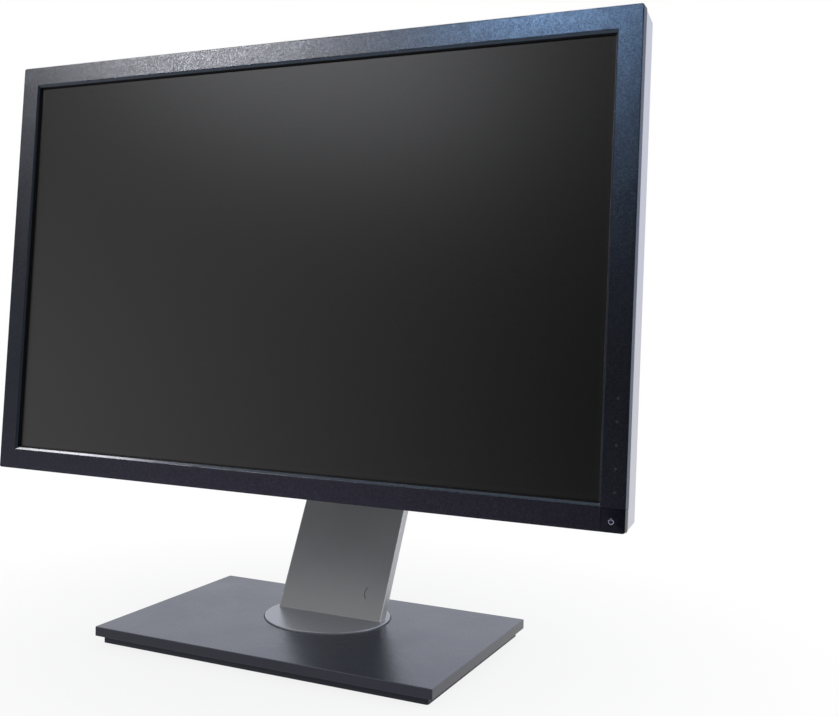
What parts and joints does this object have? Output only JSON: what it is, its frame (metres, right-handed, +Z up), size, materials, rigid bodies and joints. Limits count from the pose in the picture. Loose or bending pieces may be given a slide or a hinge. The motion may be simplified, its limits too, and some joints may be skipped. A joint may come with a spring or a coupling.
{
  "type": "computer monitor",
  "caption": "Flat widescreen monitor head on a leaning neck and a flat rectangular base, with tilt, swivel, height slide, power key and release button.",
  "frame": {"origin": "on the desk, under the middle of the base's footprint", "axes": "+X along the screen's width to the right as seen from the front, +Y from the screen to its back, +Z up"},
  "size_m": [0.5596, 0.203, 0.495],
  "materials": {
    "bezel_black": "fine pebble grain, satin",
    "key_black": "smooth satin",
    "mark_grey": "smoked light guide",
    "ring_blue": "clear light guide",
    "band_silver": "satin silver lacquer",
    "cover_black": "fine spark-eroded grain",
    "screen_glass": "anti-glare matt film",
    "film_white": "translucent matt film",
    "guide_clear": "polished clear acrylic",
    "tube_glass": "phosphor-coated glass",
    "holder_rubber": "silicone rubber",
    "sheet_steel": "zinc-plated sheet",
    "panel_steel": "black-coated sheet",
    "tray_alu": "bright aluminium sheet",
    "board_green": "solder-mask lacquer on glass-fibre board",
    "board_tan": "phenolic board",
    "parts_black": "moulded and sleeved parts",
    "socket_black": "smooth moulding",
    "socket_metal": "nickel-plated shell",
    "screw_steel": "black-zinc plated",
    "mount_steel": "zinc-plated steel",
    "bracket_black": "black powder coat",
    "pin_steel": "ground bright steel",
    "spring_steel": "oiled spring steel",
    "washer_brass": "brushed",
    "glide_white": "acetal",
    "neck_silver": "satin silver-grey lacquer",
    "disc_silver": "satin lacquered",
    "neck_black": "fine grain",
    "button_grey": "satin",
    "base_black": "fine pebble grain, satin",
    "tray_black": "plain moulding",
    "foot_rubber": "matt rubber"
  },
  "bodies": {
    "base": {"base_cover": "base_black", "base_plate": "mount_steel", "base_tray": "tray_black", "rubber_feet": "foot_rubber", "swivel_bush": "glide_white"},
    "turntable": {"swivel_disc": "disc_silver", "swivel_plate": "mount_steel", "retaining_nut": "mount_steel", "base_thumbscrew": "parts_black", "neck_screws": "pin_steel", "neck_spine": "mount_steel", "neck_front_cover": "neck_silver", "neck_rear_cover": "neck_black", "cable_grommet": "neck_black", "rails": "pin_steel", "spring_anchor": "mount_steel", "spring_band": "spring_steel"},
    "carriage": {"carriage": "mount_steel", "glides": "glide_white", "tilt_arm": "bracket_black", "friction_washers": "washer_brass"},
    "spring_drum": {"spring_drum": "glide_white", "lift_spring": "spring_steel"},
    "lock_button": {"lock_button": "button_grey"},
    "head": {"front_bezel": "bezel_black", "touch_marks": "mark_grey", "touch_board": "board_green", "side_band": "band_silver", "rear_cover": "cover_black", "panel_frame": "panel_steel", "lcd_glass": "screen_glass", "optical_films": "film_white", "light_guide": "guide_clear", "backlight_tubes": "tube_glass", "tube_holders": "holder_rubber", "reflector_tray": "tray_alu", "panel_board": "board_green", "chassis_plate": "sheet_steel", "main_board": "board_green", "power_board": "board_tan", "power_parts": "parts_black", "shield_can": "sheet_steel", "socket_bracket": "sheet_steel", "mains_inlet": "socket_black", "video_sockets": "socket_metal", "usb_sockets": "socket_metal", "side_sockets": "socket_black", "mount_frame": "mount_steel", "cover_screws": "screw_steel", "mount_plate": "bracket_black", "pivot_disc": "bracket_black", "pivot_washer": "spring_steel", "pivot_rivet": "pin_steel", "tilt_bracket": "bracket_black", "tilt_pin": "pin_steel", "tilt_springs": "spring_steel"},
    "power_key": {"power_key": "key_black", "power_ring": "ring_blue"},
    "release_button": {"release_button": "button_grey"},
    "release_latch": {"release_latch": "mount_steel"}
  },
  "joints": [
    {"name": "swivel", "type": "hinge", "parent": "base", "child": "turntable", "pos_m": [0, 0.024, 0], "axis": [0, 0, 1], "range_deg": [-45, 45]},
    {"name": "height", "type": "slide", "parent": "turntable", "child": "carriage", "axis": [0, 0, 1], "range_m": [-0.1, 0]},
    {"name": "lift_spring_turn", "type": "hinge", "parent": "carriage", "child": "spring_drum", "pos_m": [0, 0.088, 0.28724], "axis": [1, 0, 0], "range_deg": [-1200, 10]},
    {"name": "tilt", "type": "hinge", "parent": "carriage", "child": "head", "pos_m": [0, 0.038, 0.30724], "axis": [-1, 0, 0], "range_deg": [-8.2, 16.8]},
    {"name": "power_key_press", "type": "slide", "parent": "head", "child": "power_key", "axis": [0, 0.9973, -0.0732], "range_m": [0, 0.0006], "stiffness_N_per_m": 1500, "springref_m": -0.0004},
    {"name": "release_press", "type": "slide", "parent": "head", "child": "release_button", "axis": [0, -0.9973, 0.0732], "range_m": [0, 0.0025], "stiffness_N_per_m": 1500, "springref_m": -0.001},
    {"name": "latch_slide", "type": "slide", "parent": "head", "child": "release_latch", "axis": [0, -0.0732, -0.9973], "range_m": [0, 0.0025]},
    {"name": "lock_press", "type": "slide", "parent": "turntable", "child": "lock_button", "axis": [0, -1, 0], "range_m": [0, 0.002], "stiffness_N_per_m": 1500, "springref_m": -0.001}
  ],
  "couplings": [
    {"joint": "latch_slide", "follows": "release_press", "ratio": 1},
    {"joint": "lift_spring_turn", "follows": "height", "rad_per_m": 181.82}
  ]
}
